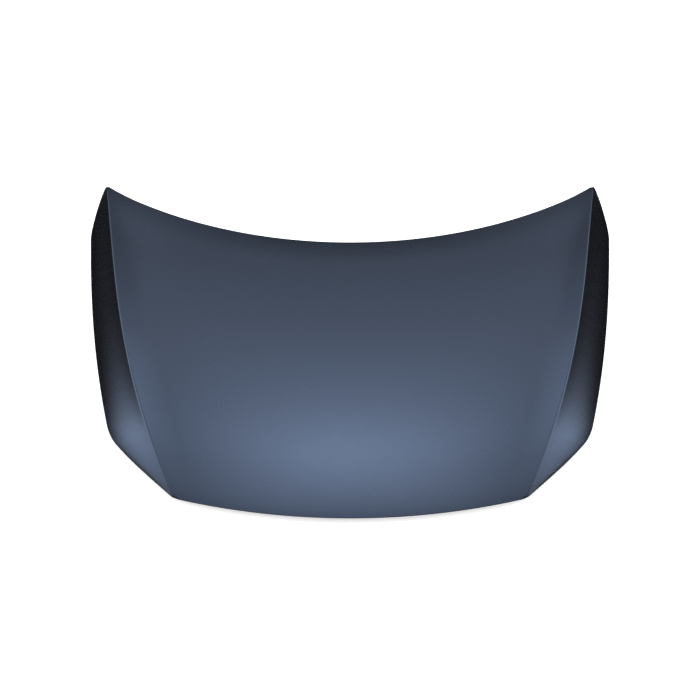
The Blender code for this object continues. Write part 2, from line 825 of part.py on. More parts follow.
def weld_nut(name, place, low, bores, collection, look):
    bm = bmesh.new()
    across_corners = NUT_ACROSS_FLATS / math.cos(math.pi / 6)
    upright_cylinder(bm, Vector((0.0, 0.0)), 0.0, NUT_HEIGHT, across_corners, 6)
    made = object_from(bm, name, collection, look)
    put(made, place, low)
    cut(made, bores, "Bore")
    return made


def hexagon_share(turn):
    """Reach of a hexagon's side at a turn, as a share of the reach of its corners."""
    sector = turn % (math.pi / 3) - math.pi / 6
    return math.cos(math.pi / 6) / math.cos(sector)


def striker_bolt(name, place, seat, end, collection, look):
    """Flanged hexagon bolt put in from below: rings bridged from the head up to the end of the shank."""
    shank = THREAD / 2
    flange = HEAD_FLANGE / 2
    head = NUT_ACROSS_FLATS / 2 / math.cos(math.pi / 6)
    chamfer = THREAD / 8
    low = -HEAD_FLANGE_HEIGHT - HEAD_HEIGHT
    rings = (
        (low, head - chamfer, True),
        (low + chamfer / 2, head, True),
        (-HEAD_FLANGE_HEIGHT, head, True),
        (-HEAD_FLANGE_HEIGHT, flange, False),
        (0.0, flange, False),
        (0.0, shank, False),
        (end - seat - chamfer, shank, False),
        (end - seat, shank - chamfer, False),
    )
    bm = bmesh.new()
    loops = []
    for height, radius, is_hexagon in rings:
        ring = []
        for step in range(BOLT_SIDES):
            turn = 2 * math.pi * step / BOLT_SIDES
            reach = radius * (hexagon_share(turn) if is_hexagon else 1.0)
            ring.append(bm.verts.new((reach * math.cos(turn), reach * math.sin(turn), height)))
        loops.append([bm.edges.new((ring[index - 1], ring[index])) for index in range(BOLT_SIDES)])
    for lower, upper in zip(loops, loops[1:]):
        bmesh.ops.bridge_loops(bm, edges=lower + upper)
    for loop in (loops[0], loops[-1]):
        bmesh.ops.contextual_create(bm, geom=loop)
    made = object_from(bm, name, collection, look)
    put(made, place, seat)
    return made


def striker_loop(collection, look):
    """Bent round rod that the latch closes on; its bottom is one of the rests on the floor."""
    top = latch_height() - FRAME - GAP - STRIKER_PLATE_THICKNESS - GAP
    low = LOOP_ROD / 2
    half = LOOP_WIDTH / 2
    path = [(-half, top)]
    for side in (-1, 1):
        for step in range(LOOP_STEPS + 1):
            share = step / LOOP_STEPS if side < 0 else 1 - step / LOOP_STEPS
            turn = math.pi / 2 * share
            path.append((side * (half - LOOP_BEND + LOOP_BEND * math.cos(turn)),
                         low + LOOP_BEND - LOOP_BEND * math.sin(turn)))
    path.append((half, top))
    curve = bpy.data.curves.new("striker_loop_path", "CURVE")
    curve.dimensions = "3D"
    curve.bevel_depth = LOOP_ROD / 2
    curve.bevel_resolution = LOOP_ROUNDNESS
    curve.use_fill_caps = True
    spline = curve.splines.new("POLY")
    spline.points.add(len(path) - 1)
    for point, (x, z) in zip(spline.points, path):
        point.co = (x, 0.0, z, 1.0)
    source = bpy.data.objects.new("striker_loop_path", curve)
    bpy.context.scene.collection.objects.link(source)
    graph = bpy.context.evaluated_depsgraph_get()
    mesh = bpy.data.meshes.new_from_object(source.evaluated_get(graph))
    bm = bmesh.new()
    bm.from_mesh(mesh)
    bpy.data.objects.remove(source, do_unlink=True)
    bpy.data.meshes.remove(mesh)
    bmesh.ops.remove_doubles(bm, verts=bm.verts, dist=TOLERANCE)
    for vert in bm.verts:
        if vert.co.z > top - TOLERANCE * 4:
            vert.co.z = top
    lowest = min(vert.co.z for vert in bm.verts)
    for vert in bm.verts:
        if vert.co.z < top - TOLERANCE:
            vert.co.z -= lowest * clamp((top - vert.co.z) / top)
    made = object_from(bm, "striker_loop", collection, look)
    put(made, latch_centre(), 0.0)
    return made


def latch_parts(collection, cutters, plate_look, steel, zinc):
    """Striker plate and loop under the frame, reinforcement plate, bolts and nuts."""
    centre = latch_centre()
    places = latch_hole_places()
    holes = hole_cutter("latch_holes_cutter", places, CLEAR_HOLE, cutters)
    bores = hole_cutter("latch_bores_cutter", places, THREAD + 2 * BOLT_ROOM, cutters)
    above = latch_height() + GAP
    plate("latch_reinforcement", centre, LATCH_PLATE_SIZE, above, LATCH_PLATE_THICKNESS,
          LATCH_PLATE_SIZE.y / 5, holes, collection, plate_look)
    striker_low = latch_height() - FRAME - GAP - STRIKER_PLATE_THICKNESS
    plate("striker_plate", centre, STRIKER_PLATE_SIZE, striker_low, STRIKER_PLATE_THICKNESS,
          STRIKER_PLATE_SIZE.y / 3, holes, collection, steel)
    striker_loop(collection, steel)
    nut_low = above + LATCH_PLATE_THICKNESS + GAP
    for side, place in zip(("right", "left"), places):
        weld_nut("striker_nut_" + side, place, nut_low, bores, collection, zinc)
        striker_bolt("striker_bolt_" + side, place, striker_low - GAP, nut_low + NUT_HEIGHT + THREAD / 3,
                     collection, zinc)


def hinge_parts(collection, cutters, plate_look, zinc):
    """Reinforcement plate and two weld nuts over each hinge seat."""
    low = hinge_height() + GAP
    nut_low = low + HINGE_PLATE_THICKNESS + GAP
    for side, sign in (("right", -1), ("left", 1)):
        places = hinge_hole_places(sign)
        holes = hole_cutter("hinge_holes_cutter_" + side, places, CLEAR_HOLE, cutters)
        bores = hole_cutter("hinge_bores_cutter_" + side, places, THREAD, cutters)
        plate("hinge_reinforcement_" + side, hinge_centre(sign), HINGE_PLATE_SIZE, low,
              HINGE_PLATE_THICKNESS, HINGE_PLATE_SIZE.x / 6, holes, collection, plate_look)
        for end, place in zip(("front", "rear"), places):
            weld_nut("hinge_nut_" + side + "_" + end, place, nut_low, bores, collection, zinc)


def pads_round(outline, counts):
    """Middles of the mastic pads on the land outside the edges of an opening."""
    places = []
    for index, count in enumerate(counts):
        start = Vector(outline[index])
        end = Vector(outline[(index + 1) % len(outline)])
        along = (end - start).normalized()
        outside = Vector((along.y, -along.x))
        for step in range(count):
            share = (step + 1) / (count + 1)
            places.append(start.lerp(end, share) + outside * RIB_LAND / 2)
    return places


def pad_places():
    middle, halves = opening_outlines()
    places = pads_round(middle["middle_front"], PADS_BY_EDGE["middle_front"])
    for name, outline in halves.items():
        for place in pads_round(outline, PADS_BY_EDGE[name]):
            places.append(place)
            places.append(Vector((-place.x, place.y)))
    return places


def mastic_pads(skin, frame, collection, look):
    """Flexible pads that fill the space between frame and skin, fitted by casting on both."""
    graph = bpy.context.evaluated_depsgraph_get()
    skin_tree = BVHTree.FromObject(skin, graph)
    frame_tree = BVHTree.FromObject(frame, graph)
    down = Vector((0.0, 0.0, -1.0))
    for number, place in enumerate(pad_places(), start=1):
        centre = place.to_3d() + SHIFT
        bm = bmesh.new()
        bmesh.ops.create_cone(bm, cap_ends=True, cap_tris=True, segments=PAD_SIDES, radius1=PAD_RADIUS,
                              radius2=PAD_RADIUS, depth=LAND_DEPTH)
        for vert in bm.verts:
            above = Vector((centre.x + vert.co.x, centre.y + vert.co.y, CUT_HIGH))
            outer = skin_tree.ray_cast(above, down)[0]
            floor = frame_tree.ray_cast(above, down)[0]
            ceiling = skin_tree.ray_cast(outer + down * TOLERANCE, down)[0]
            vert.co.z = ceiling.z - PAD_GAP if vert.co.z > 0 else floor.z + PAD_GAP
        made = object_from(bm, f"mastic_pad_{number:02d}", collection, look)
        made.location = (centre.x, centre.y, 0.0)


def main():
    clear_scene()
    collection = make_collection("car_bonnet")
    cutters = make_collection("cutters")
    coat = material("black_ecoat", (0.018, 0.021, 0.028), 0.38)
    inner_coat = material("black_ecoat_inner", (0.022, 0.024, 0.028), 0.5)
    plate_coat = material("plate_ecoat", (0.030, 0.032, 0.036), 0.5)
    striker_steel = material("striker_steel", (0.42, 0.40, 0.34), 0.35, 1.0)
    zinc = material("zinc_fastener", (0.55, 0.54, 0.50), 0.4, 1.0)
    mastic = material("grey_mastic", (0.16, 0.16, 0.15), 0.85)
    seats = latch_hole_places() + hinge_hole_places(-1) + hinge_hole_places(1)
    seat_holes = hole_cutter("seat_holes_cutter", seats, CLEAR_HOLE, cutters)
    skin = outer_skin(collection, coat)
    frame = inner_frame(collection, cutters, seat_holes, inner_coat)
    latch_parts(collection, cutters, plate_coat, striker_steel, zinc)
    hinge_parts(collection, cutters, plate_coat, zinc)
    mastic_pads(skin, frame, collection, mastic)


main()
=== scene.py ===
import math
import bmesh
import bpy
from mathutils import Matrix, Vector
from mathutils.geometry import interpolate_bezier


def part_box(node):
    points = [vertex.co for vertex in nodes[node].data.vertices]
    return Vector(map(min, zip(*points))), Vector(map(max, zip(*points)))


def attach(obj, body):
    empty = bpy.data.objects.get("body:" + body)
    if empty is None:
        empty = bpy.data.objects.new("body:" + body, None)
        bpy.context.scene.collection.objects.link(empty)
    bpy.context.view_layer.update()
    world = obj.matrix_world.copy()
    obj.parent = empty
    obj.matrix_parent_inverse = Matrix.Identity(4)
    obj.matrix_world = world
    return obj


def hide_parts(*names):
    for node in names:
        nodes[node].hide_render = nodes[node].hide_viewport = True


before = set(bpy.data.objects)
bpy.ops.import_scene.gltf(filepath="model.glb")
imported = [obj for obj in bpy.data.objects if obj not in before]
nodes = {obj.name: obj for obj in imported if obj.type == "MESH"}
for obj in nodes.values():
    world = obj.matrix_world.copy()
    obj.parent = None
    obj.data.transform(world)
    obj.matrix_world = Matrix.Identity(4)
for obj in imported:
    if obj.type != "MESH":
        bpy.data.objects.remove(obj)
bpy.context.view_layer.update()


# a socket that can be added, multiplied and so on, so node maths reads as plain sums
class Term:
    def __init__(self, net, socket):
        self.net = net
        self.socket = socket

    def __add__(self, other):
        return self.net.maths("ADD", self, other)

    def __radd__(self, other):
        return self.net.maths("ADD", other, self)

    def __sub__(self, other):
        return self.net.maths("SUBTRACT", self, other)

    def __rsub__(self, other):
        return self.net.maths("SUBTRACT", other, self)

    def __mul__(self, other):
        return self.net.maths("MULTIPLY", self, other)

    def __rmul__(self, other):
        return self.net.maths("MULTIPLY", other, self)

    def __truediv__(self, other):
        return self.net.maths("DIVIDE", self, other)

    def __rtruediv__(self, other):
        return self.net.maths("DIVIDE", other, self)

    def __pow__(self, power):
        return self.net.maths("POWER", self, power)

    def __rpow__(self, base):
        return self.net.maths("POWER", base, self)

    def __neg__(self):
        return self.net.maths("MULTIPLY", self, -1.0)

    def part(self, name):
        return Term(self.net, self.socket.node.outputs[name])    # another output of the same node


# a node tree with one way of adding a node: its type, its settings, then what its sockets get
class Net:
    def __init__(self, tree):
        self.tree = tree
        if tree.bl_idname == "ShaderNodeTree":
            tree.nodes.clear()    # a new material starts with nodes of its own

    def node(self, kind, settings=None, sockets=None, out=0):
        made = self.tree.nodes.new(kind)
        for name, value in (settings or {}).items():
            setattr(made, name, value)
        for key, value in (sockets or {}).items():
            if isinstance(value, Term):
                self.tree.links.new(value.socket, made.inputs[key])
            else:
                made.inputs[key].default_value = value
        return Term(self, made.outputs[out]) if len(made.outputs) else made

    def maths(self, operation, *ends):
        vector = any(isinstance(end, (tuple, Vector)) for end in ends)
        vector = vector or any(isinstance(end, Term) and end.socket.type == "VECTOR" for end in ends)
        if vector:
            ends = [(end,) * 3 if isinstance(end, (int, float)) else end for end in ends]
        kind = "ShaderNodeVectorMath" if vector else "ShaderNodeMath"
        made = self.node(kind, {"operation": operation}, dict(enumerate(ends)))
        return made.part("Value") if operation in ("DOT_PRODUCT", "LENGTH", "DISTANCE") else made

    def clamp(self, value):
        return self.node("ShaderNodeClamp", {}, {0: value})

    def smooth(self, value, low, high):    # 0 at low, 1 at high, with soft ends
        return self.node("ShaderNodeMapRange", {"interpolation_type": "SMOOTHSTEP"}, {0: value, 1: low, 2: high})

    def vector(self, x, y, z):
        return self.node("ShaderNodeCombineXYZ", {}, {0: x, 1: y, 2: z})

    def axes(self, value):
        split = self.node("ShaderNodeSeparateXYZ", {}, {0: value})
        return split, split.part("Y"), split.part("Z")

    def blend(self, low, high, share):    # from low to high by share, for numbers or vectors
        return low + (high - low) * share

    def colour(self, low, high, share):
        return self.node("ShaderNodeMix", {"data_type": "RGBA"}, {0: share, 6: low, 7: high}, out=2)

    def fading(self, power):    # e to a power that is zero or less
        return 2.718282 ** power


# the pressed top and its flanks, in metres from the middle of the front edge
panel = {
    "frontHalf": 0.4501, "frontBow": 0.0612, "rearHalf": 0.6775, "rearBow": 0.2221, "length": 0.7902,
    "pullFront": 0.606, "pullRear": 0.6296, "frontHeight": 0.034, "noseRise": 0.1427, "noseReach": 0.2251,
    "rearFall": 0.02, "crownFront": 0.0046, "crownGrowth": 0.0351, "ridge": 0.006, "bulge": 0.035,
    "ridgeStart": 0.85, "ridgeReach": 0.4, "valley": 0.0022, "valleyFront": 0.845, "valleyRear": 0.95,
    "valleyIn": 0.10, "valleyOut": 0.045, "valleyRise": (0.26, 0.50), "valleyFade": (0.82, 0.98),
    "roll": 0.0034, "rollStart": 0.90,
}
flankEdge = {    # where each curve of the flank's outer edge ends along the crease, and its pull points
    "lamp": (0.0, 0.15, (None, (0.5045, 0.1141, 0.0293), (0.5607, 0.1655, 0.0286), (0.6082, 0.2251, 0.0283))),
    "lampCorner": (0.15, 0.20, ((0.6082, 0.2251, 0.0283), (0.6190, 0.2381, 0.0281), (0.6297, 0.2606, 0.0276),
                                (0.6349, 0.2814, 0.0270))),
    "wing": (0.20, 0.865, ((0.6349, 0.2814, 0.0270), (0.6865, 0.4934, 0.0231), (0.7136, 0.7104, 0.0052),
                           (0.7289, 0.9275, 0.0))),
    "backCorner": (0.865, 0.90, ((0.7289, 0.9275, 0.0), (0.7289, 0.9437, 0.0), (0.7256, 0.9587, 0.0097),
                                 (0.7206, 0.9650, 0.0243))),
    "back": (0.90, 1.0, ((0.7206, 0.9650, 0.0243), (0.7087, 0.9822, 0.0595), (0.6961, 0.9931, 0.0981), None)),
}
panelInputs = {
    "Front half width": "frontHalf", "Front bow": "frontBow", "Rear half width": "rearHalf", "Rear bow": "rearBow",
    "Centre length": "length", "Nose rise": "noseRise", "Nose reach": "noseReach", "Flank bulge": "bulge",
}
panelSizes = {label: panel[key] for label, key in panelInputs.items()}
halfLength = (panel["length"] + panel["rearBow"]) / 2
restHeight = 0.0013    # the hem under the rear corners stands on the floor


def arcOffset(x, halfWidth, bow):
    radius = (halfWidth * halfWidth + bow * bow) / (2.0 * bow)
    return radius - (radius * radius - x * x) ** 0.5


def creaseX(size, v):
    w = 1.0 - v
    ends = size["frontHalf"] * w * w * w + size["rearHalf"] * v * v * v
    return ends + (size["pullFront"] * w + size["pullRear"] * v) * (3.0 * v * w)


def ruleTree(name, inputs, outputs):
    # a node group that only works out places, so that every tree can use the same surface
    tree = bpy.data.node_groups.new(name, "GeometryNodeTree")
    for label in inputs:
        tree.interface.new_socket(name=label, in_out="INPUT", socket_type="NodeSocketFloat")
    for label, kind in outputs.items():
        tree.interface.new_socket(name=label, in_out="OUTPUT", socket_type="NodeSocket" + kind)
    net = Net(tree)
    start = net.node("NodeGroupInput")
    return net, {label: start.part(label) for label in inputs}


def makeTopRule():
    net, given = ruleTree("topSurface", ("Across", "Along", *panelInputs), {"Place": "Vector"})
    size = dict(panel)
    size.update({key: given[label] for label, key in panelInputs.items()})
    u, v = given["Across"], given["Along"]
    x = u * creaseX(size, v)
    start = arcOffset(x, size["frontHalf"], size["frontBow"])
    end = arcOffset(x, size["rearHalf"], size["rearBow"]) + size["length"]
    y = net.blend(start, end, v)
    run = y - start
    nose = (1.0 - net.fading(-(run / size["noseReach"]))) * size["noseRise"]
    crown = (size["crownFront"] + size["crownGrowth"] * run) * (u * u)
    edge = net.clamp((net.maths("ABSOLUTE", u) - size["ridgeStart"]) / (1.0 - size["ridgeStart"]))
    ridge = edge * edge * net.clamp(run / size["ridgeReach"]) * size["ridge"]
    # a shallow valley beside the crease makes the middle stand a little proud, and the rear edge rolls down
    aside = net.maths("ABSOLUTE", u) - net.blend(size["valleyFront"], size["valleyRear"], v * v)
    aside = net.maths("MAXIMUM", aside / size["valleyOut"], -aside / size["valleyIn"])
    fade = net.smooth(run, *size["valleyRise"]) * (1.0 - net.smooth(v, *size["valleyFade"]))
    valley = net.fading(aside * aside * -0.5) * fade * size["valley"]
    past = net.maths("MAXIMUM", v - size["rollStart"], 0.0) / (1.0 - size["rollStart"])
    roll = past * past * (1.0 - u * u) * size["roll"]
    z = nose + size["frontHeight"] - size["rearFall"] * run * run - crown + ridge - valley - roll
    net.node("NodeGroupOutput", {}, {0: net.vector(x, y, z)})
    return net.tree


topRule = makeTopRule()


def topPoint(net, size, u, v):
    return net.node("GeometryNodeGroup", {"node_tree": topRule}, dict(size, Across=u, Along=v))


def bezier(points, s):
    a, b, c, d = points
    return ((((d - a) + (b - c) * 3.0) * s + (a - b * 2.0 + c) * 3.0) * s + (b - a) * 3.0) * s + a


def makeFlankRule(step=0.003):
    # crease, outer edge, outward direction and width of the flank at a share of the crease's length
    net, given = ruleTree("flankSurface", ("Along", *panelInputs),
                          {"Crease": "Vector", "Edge": "Vector", "Outward": "Vector", "Width": "Float"})
    size = {label: given[label] for label in panelInputs}
    t = given["Along"]
    tips = {"front": topPoint(net, size, 1.0, 0.0), "rear": topPoint(net, size, 1.0, 1.0)}
    crease = topPoint(net, size, 1.0, t)
    edge = None
    for name, (start, end, pulls) in flankEdge.items():
        pulls = [tips["front" if name == "lamp" else "rear"] if pull is None else net.vector(*pull) for pull in pulls]
        curve = bezier(pulls, net.clamp((t - start) / (end - start)))
        edge = curve if edge is None else edge + (curve - edge) * net.maths("GREATER_THAN", t, start)
    low = net.maths("MAXIMUM", t - step, 0.0)
    high = net.maths("MINIMUM", t + step, 1.0)
    run = topPoint(net, size, 1.0, high) - topPoint(net, size, 1.0, low)
    across = crease - edge
    outward = net.maths("NORMALIZE", net.maths("CROSS_PRODUCT", run, across))
    net.node("NodeGroupOutput", {}, {0: crease, 1: edge, 2: outward, 3: net.maths("LENGTH", across)})
    return net.tree


flankRule = makeFlankRule()


def flankFrame(net, size, t):
    crease = net.node("GeometryNodeGroup", {"node_tree": flankRule}, dict(size, Along=t))
    return crease, crease.part("Edge"), crease.part("Outward"), crease.part("Width")


def flankPoint(size, flank, s):
    crease, edge, normal, width = flank
    swell = s * s * (1.0 - s) * 6.75    # 0 at both edges, 1 two thirds of the way down
    return crease + (edge - crease) * s + normal * (width * swell * size["Flank bulge"])


def newTree(name, sizes):
    tree = bpy.data.node_groups.new(name, "GeometryNodeTree")
    tree.interface.new_socket(name="Geometry", in_out="OUTPUT", socket_type="NodeSocketGeometry")
    for label, value in sizes.items():
        kind = "NodeSocketInt" if isinstance(value, int) else "NodeSocketFloat"
        kind = "NodeSocketMaterial" if isinstance(value, bpy.types.Material) else kind
        kind = "NodeSocketObject" if isinstance(value, bpy.types.Object) else kind
        tree.interface.new_socket(name=label, in_out="INPUT", socket_type=kind)
    net = Net(tree)
    start = net.node("NodeGroupInput")
    return net, {label: start.part(label) for label in sizes}


def finishTree(net, geometry, material):
    real = net.node("GeometryNodeRealizeInstances", {}, {0: geometry})
    painted = net.node("GeometryNodeSetMaterial", {}, {"Geometry": real, "Material": material})
    net.node("NodeGroupOutput", {}, {0: painted})


def mirrored(net, geometry):
    other = net.node("GeometryNodeTransform", {}, {"Geometry": geometry, "Scale": (-1.0, 1.0, 1.0)})
    return net.node("GeometryNodeFlipFaces", {}, {0: other})


def joined(net, parts):
    join = net.node("GeometryNodeJoinGeometry")
    for part in reversed(parts):
        net.tree.links.new(part.socket, join.socket.node.inputs[0])
    return net.node("GeometryNodeMergeByDistance", {}, {"Geometry": join, "Distance": 0.00002})


def growMesh(name, net, sizes):
    # runs the tree once on an empty mesh and keeps the plain mesh that comes out
    seed = bpy.data.objects.new(name + "Seed", bpy.data.meshes.new(name + "Seed"))
    bpy.context.scene.collection.objects.link(seed)
    grow = seed.modifiers.new("Grow", "NODES")
    grow.node_group = net.tree
    for item in net.tree.interface.items_tree:
        if item.in_out == "INPUT":
            grow[item.identifier] = sizes[item.name]
    graph = bpy.context.evaluated_depsgraph_get()
    mesh = bpy.data.meshes.new_from_object(seed.evaluated_get(graph))
    mesh.name = name
    while len(mesh.materials) > 1 and mesh.materials[0] is None:
        mesh.materials.pop(index=0)
    seed.modifiers.remove(grow)
    bpy.data.objects.remove(seed)
    return mesh


def objectFrom(name, mesh):
    made = bpy.data.objects.new(name, mesh)
    bpy.context.scene.collection.objects.link(made)
    return made


def settle(piece):
    # bakes the live modifiers in, so that the piece is one plain mesh
    graph = bpy.context.evaluated_depsgraph_get()
    mesh = bpy.data.meshes.new_from_object(piece.evaluated_get(graph))
    piece.modifiers.clear()
    piece.data = mesh
    return piece


# finishes
def newMaterial(name):
    made = bpy.data.materials.new(name)
    made.use_nodes = True
    net = Net(made.node_tree)
    place = net.node("ShaderNodeTexCoord").part("Object")
    return made, net, place


def shade(net, sockets):
    shader = net.node("ShaderNodeBsdfPrincipled", {}, sockets)
    net.node("ShaderNodeOutputMaterial", {}, {0: shader})


def noise(net, place, scale, detail=2.0, rough=0.5):
    return net.node("ShaderNodeTexNoise", {}, {"Vector": place, "Scale": scale, "Detail": detail, "Roughness": rough})


coatLook = {"roughness": 0.27, "level": 1.0, "tint": (0.465, 0.635, 1.0, 1.0), "dark": (0.0048, 0.0050, 0.0060, 1.0),
            "pale": (0.0068, 0.0072, 0.0085, 1.0), "cloudScale": 5.0, "mottleScale": 42.0, "peelScale": 260.0,
            "grainScale": 900.0, "spread": 0.05, "bump": 0.015, "bumpDepth": 0.0006}


def coatMaterial(name, look, grain=1.0):
    made, net, place = newMaterial(name)
    cloud = noise(net, place, look["cloudScale"], 3.0)
    mottle = noise(net, place, look["mottleScale"], 4.0, 0.6)
    fine = noise(net, place, look["grainScale"], 2.0)
    peel = noise(net, place, look["peelScale"], 2.0)
    rough = (cloud - 0.5) * look["spread"] + (mottle - 0.5) * look["spread"] + look["roughness"]
    bump = net.node("ShaderNodeBump", {}, {"Strength": look["bump"] * grain, "Distance": look["bumpDepth"],
                                          "Height": fine * 0.35 + peel * 0.65})
    shade(net, {"Base Color": net.colour(look["dark"], look["pale"], net.clamp(cloud * 0.6 + mottle * 0.4)),
                "Roughness": rough, "Specular IOR Level": look["level"], "Specular Tint": look["tint"],
                "Normal": bump})
    return made


def metalMaterial(name, base, dark, roughness, brushed):
    made, net, place = newMaterial(name)
    stretched = net.node("ShaderNodeMapping", {}, {"Vector": place, "Scale": (1.0, brushed, 1.0)})
    grain = noise(net, stretched, 900.0, 3.0)
    blotch = noise(net, place, 160.0, 4.0, 0.65)
    mask = net.smooth(blotch, 0.42, 0.68)
    bump = net.node("ShaderNodeBump", {}, {"Strength": 0.12, "Distance": 0.0002, "Height": grain})
    shade(net, {"Base Color": net.colour(base, dark, mask * 0.8), "Metallic": 1.0,
                "Roughness": roughness + (grain - 0.5) * 0.16 + mask * 0.12, "Normal": bump})
    return made


def masticMaterial(name, dark, pale, roughness):
    made, net, place = newMaterial(name)
    dust = noise(net, place, 420.0, 4.0, 0.7)
    lump = noise(net, place, 90.0, 2.0)
    bump = net.node("ShaderNodeBump", {}, {"Strength": 0.35, "Distance": 0.0008, "Height": lump * 0.7 + dust * 0.3})
    shade(net, {"Base Color": net.colour(dark, pale, dust), "Roughness": (dust - 0.5) * 0.2 + roughness,
                "Normal": bump})
    return made


outerCoat = coatMaterial("blackEcoat", coatLook)
innerLook = dict(coatLook, roughness=0.42, tint=(0.7, 0.8, 1.0, 1.0), dark=(0.010, 0.0105, 0.012, 1.0),
                 pale=(0.016, 0.017, 0.019, 1.0))
innerCoat = coatMaterial("blackEcoatInner", innerLook, 1.6)
plateLook = dict(innerLook, roughness=0.36, dark=(0.016, 0.017, 0.019, 1.0), pale=(0.026, 0.027, 0.030, 1.0))
plateCoat = coatMaterial("plateEcoat", plateLook, 2.2)
strikerSteel = metalMaterial("passivatedSteel", (0.50, 0.47, 0.38, 1), (0.34, 0.31, 0.24, 1), 0.34, 14.0)
zincSteel = metalMaterial("zincPlate", (0.60, 0.60, 0.57, 1), (0.42, 0.42, 0.40, 1), 0.38, 1.0)
greyMastic = masticMaterial("greyMastic", (0.13, 0.13, 0.12, 1), (0.20, 0.20, 0.185, 1), 0.78)
hemSealer = masticMaterial("hemSealer", (0.030, 0.031, 0.034, 1), (0.050, 0.051, 0.054, 1), 0.58)
print("finishes made")


# outer skin
skinSizes = dict(panelSizes, **{"Columns": 149, "Rows": 115, "Flank columns": 19, "Material": outerCoat})
skinFold = {"hemDepth": 0.0029, "hemWidth": 0.011, "tipHem": 0.0015, "tipEase": 0.030, "creaseRadius": 0.0034,
            "foldShare": 0.34, "segments": 4, "mostShare": 0.42, "sharpTurn": 0.25, "sheet": 0.0008,
            "tipReach": 0.010, "tipTurns": 1, "merge": 0.00002, "sliver": 0.00005}
rowSpacing = {"even": 0.78, "growing": 0.22}    # rows lie a little closer together at the nose


def rowShare(y):
    return (y + 0.5) * (rowSpacing["even"] + (y + 0.5) * rowSpacing["growing"])


def skinTree():
    net, given = newTree("pressedSkin", skinSizes)
    size = {label: given[label] for label in panelInputs}
    x, y, _ = net.axes(net.node("GeometryNodeInputPosition"))
    share = rowShare(y)
    back = net.vector(0.0, -halfLength, restHeight)
    top = net.node("GeometryNodeMeshGrid", {}, {0: 2.0, 1: 1.0, 2: given["Columns"], 3: given["Rows"]})
    top = net.node("GeometryNodeSetPosition", {}, {"Geometry": top,
                                                   "Position": topPoint(net, size, x, share) + back})
    side = net.node("GeometryNodeMeshGrid", {}, {0: 1.0, 1: 1.0, 2: given["Flank columns"], 3: given["Rows"]})
    flank = flankFrame(net, size, share)
    side = net.node("GeometryNodeSetPosition", {}, {"Geometry": side,
                                                    "Position": flankPoint(size, flank, x + 0.5) + back})
    finishTree(net, joined(net, (top, side, mirrored(net, side))), given["Material"])
    return net


def tipsOf(bm):
    # the four sharp ends of the two creases
    border = [vert for vert in bm.verts if vert.is_boundary]
    front = topCorner(0.0)
    rear = topCorner(1.0)
    return [min(border, key=lambda vert: (vert.co - place).length) for end in (front, rear)
            for place in (end, Vector((-end.x, end.y, end.z)))]


def topCorner(v):    # the same sums as the top rule, for the crease's two ends only
    x = panel["frontHalf"] if v == 0.0 else panel["rearHalf"]
    bow = panel["frontBow"] if v == 0.0 else panel["rearBow"] + panel["length"]
    run = 0.0 if v == 0.0 else bow - arcOffset(x, panel["frontHalf"], panel["frontBow"])
    z = panel["frontHeight"] + panel["noseRise"] * (1 - math.exp(-run / panel["noseReach"]))
    z -= panel["rearFall"] * run * run + panel["crownFront"] + panel["crownGrowth"] * run
    z += panel["ridge"] * min(run / panel["ridgeReach"], 1.0)
    return Vector((x, bow - halfLength, z + restHeight))


def intoSheet(vert):
    way = Vector()    # points from the border into the sheet, along its surface
    for edge in vert.link_edges:
        if edge.is_boundary:
            face = edge.link_faces[0]
            side = face.normal.cross(edge.verts[1].co - edge.verts[0].co).normalized()
            if side.dot(face.calc_center_median() - edge.verts[0].co) < 0:
                side.negate()
            way += side
    return way.normalized()


def foldHem(bm, fold, tips):
    # turns the border down and then back under, with less of a lip towards the tips
    bm.normal_update()
    weight = bm.edges.layers.float.new("bevel_weight_edge")
    border = [edge for edge in bm.edges if edge.is_boundary]
    rings = {}
    for vert in [vert for vert in bm.verts if vert.is_boundary]:
        room = min((vert.co - tip.co).length for tip in tips)
        ease = min(room / fold["tipEase"], 1.0)
        lip = fold["tipHem"] + (fold["hemWidth"] - fold["tipHem"]) * ease * ease * (3 - 2 * ease)
        down = vert.co - vert.normal * fold["hemDepth"]
        back = down + intoSheet(vert) * lip
        rings[vert] = (bm.verts.new(down), bm.verts.new(back))
    for edge in border:
        a, b = edge.verts
        face = edge.link_faces[0]
        if [loop.vert for loop in face.loops if loop.edge == edge][0] == a:
            a, b = b, a
        material = face.material_index
        for near, far in (((a, b), (rings[a][0], rings[b][0])),
                          ((rings[a][0], rings[b][0]), (rings[a][1], rings[b][1]))):
            made = bm.faces.new((near[0], near[1], far[1], far[0]))
            made.material_index = material
    for edge in border:
        edge[weight] = fold["foldShare"]
        a, b = edge.verts
        low = bm.edges.get((rings[a][0], rings[b][0]))
        low[weight] = fold["foldShare"]
    order = {vert: index for index, vert in enumerate(rings)}
    lips = [ring[1].co + (vert.co - ring[0].co).normalized() * beadSizes["Lift"] for vert, ring in rings.items()]
    line = bpy.data.meshes.new("hemLine")
    line.from_pydata(lips, [(order[edge.verts[0]], order[edge.verts[1]]) for edge in border], [])
    return weight, line


def softenCrease(bm, weight, tips):
    # the crease gets the whole radius and the hem its share, less at the tips and where the edges beside are short
    for edge in bm.edges:
        if len(edge.link_faces) == 2 and edge[weight] == 0.0 and edge.calc_face_angle(0.0) > skinFold["sharpTurn"]:
            edge[weight] = 1.0
    folded = {edge: edge[weight] for edge in bm.edges if edge[weight] > 0.0}
    for edge, share in folded.items():
        beside = [other.calc_length() for vert in edge.verts for other in vert.link_edges if other not in folded]
        room = min((vert.co - tip.co).length for vert in edge.verts for tip in tips)
        fade = min(max((room - skinFold["tipReach"]) / skinFold["tipReach"], 0.0) / 3, 1.0)
        most = skinFold["mostShare"] * min(beside, default=0.0) / skinFold["creaseRadius"]
        edge[weight] = min(share, most) * fade


